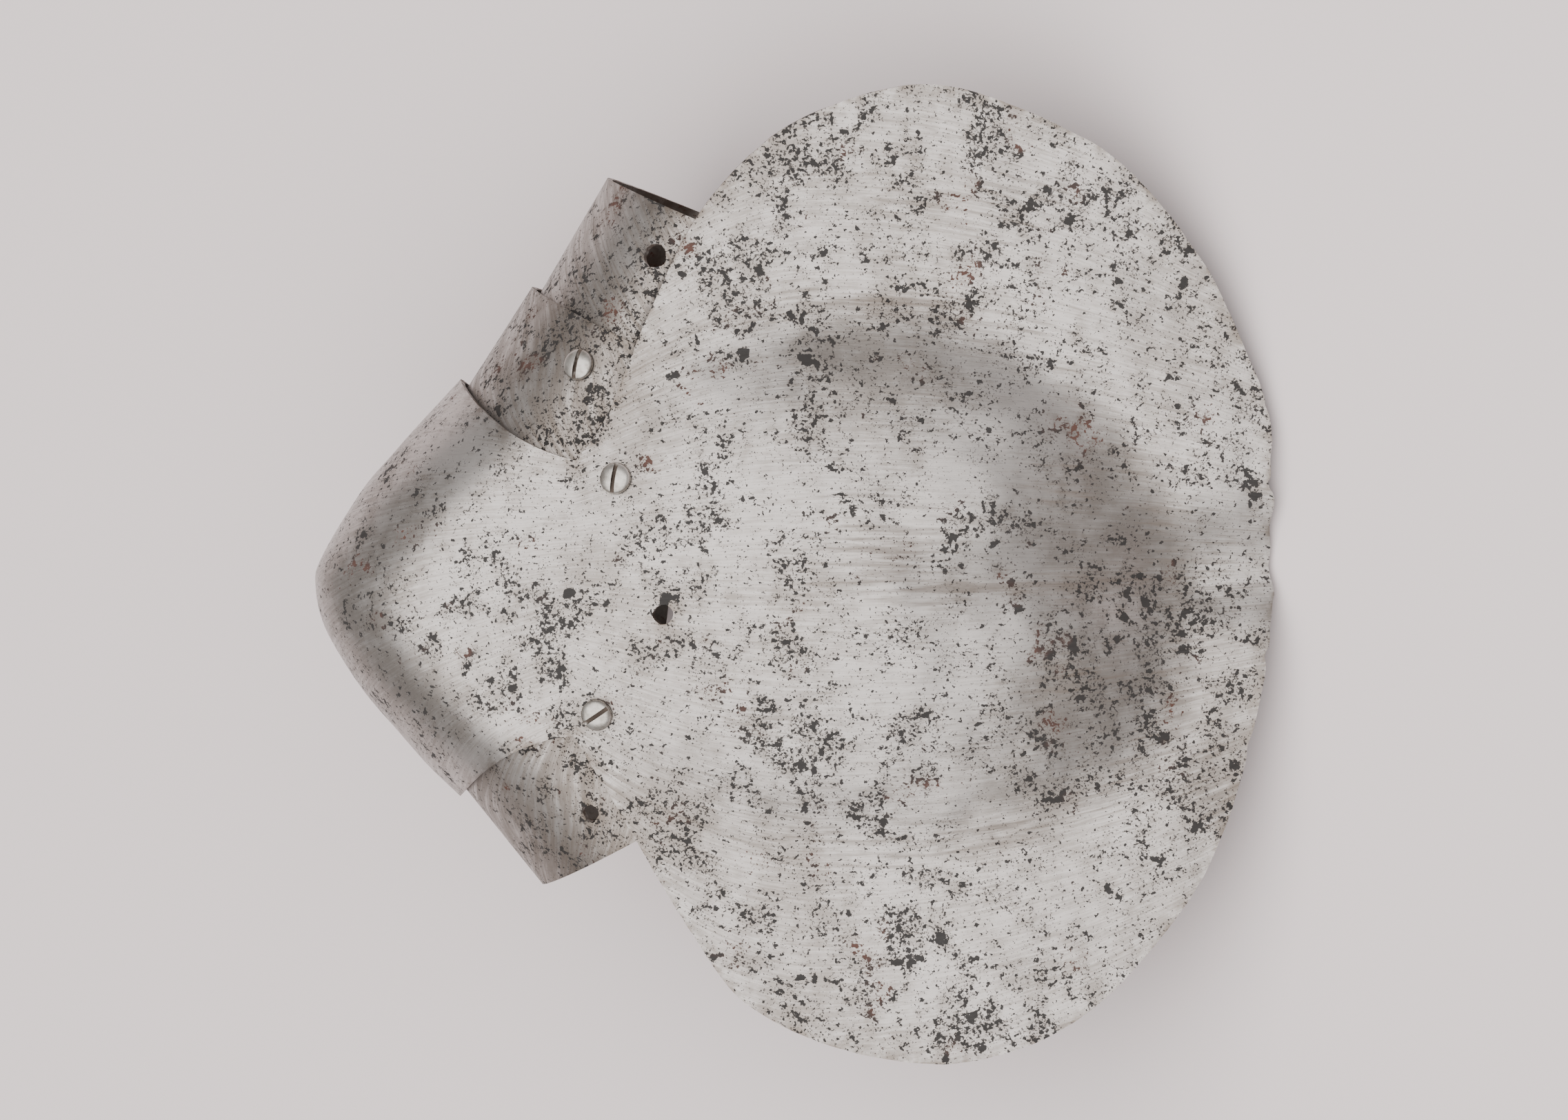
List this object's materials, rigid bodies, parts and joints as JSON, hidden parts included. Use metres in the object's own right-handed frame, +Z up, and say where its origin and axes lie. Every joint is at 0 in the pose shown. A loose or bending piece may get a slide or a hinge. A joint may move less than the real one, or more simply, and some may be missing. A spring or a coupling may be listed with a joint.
{
  "type": "steel elbow couter with side wing",
  "caption": "Armour plate for the elbow: a U-shaped cup with a broad pinched wing on its outer side, and narrow lames turning on screws above and below it.",
  "frame": {"origin": "centre of the bounding box at the level of the surface it lies on", "axes": "+Z up from the surface it rests on, its outer side up; +X from the elbow's point towards the wing's rim; +Y towards the upper arm"},
  "size_m": [0.2156, 0.228, 0.1055],
  "materials": {
    "pitted_steel": "old polished steel, pitted and brown-stained",
    "screw_steel": "worn steel screw head",
    "rivet_steel": "dull dark steel"
  },
  "bodies": {
    "elbow": {"elbow_plate": "pitted_steel", "pivot_screw_upper": "screw_steel", "inner_rivet_upper": "rivet_steel", "pivot_screw_lower": "screw_steel", "inner_rivet_lower": "rivet_steel"},
    "first_upper_lame": {"upper_lame_1": "pitted_steel", "lame_screw_upper": "screw_steel", "inner_rivet_lames": "rivet_steel"},
    "second_upper_lame": {"upper_lame_2": "pitted_steel"},
    "lower_lame": {"lower_lame_1": "pitted_steel"}
  },
  "joints": [
    {"name": "first_upper_hinge", "type": "hinge", "parent": "elbow", "child": "first_upper_lame", "pos_m": [-0.04202, 0.02042, 0.04937], "axis": [0.5083, 0.0825, 0.8572], "range_deg": [-7, 7]},
    {"name": "second_upper_hinge", "type": "hinge", "parent": "first_upper_lame", "child": "second_upper_lame", "pos_m": [-0.05002, 0.04648, 0.05161], "axis": [0.5083, 0.0825, 0.8572], "range_deg": [-8, 3]},
    {"name": "lower_hinge", "type": "hinge", "parent": "elbow", "child": "lower_lame", "pos_m": [-0.04476, -0.03311, 0.05615], "axis": [0.5083, 0.0825, 0.8572], "range_deg": [-9, 3]}
  ]
}
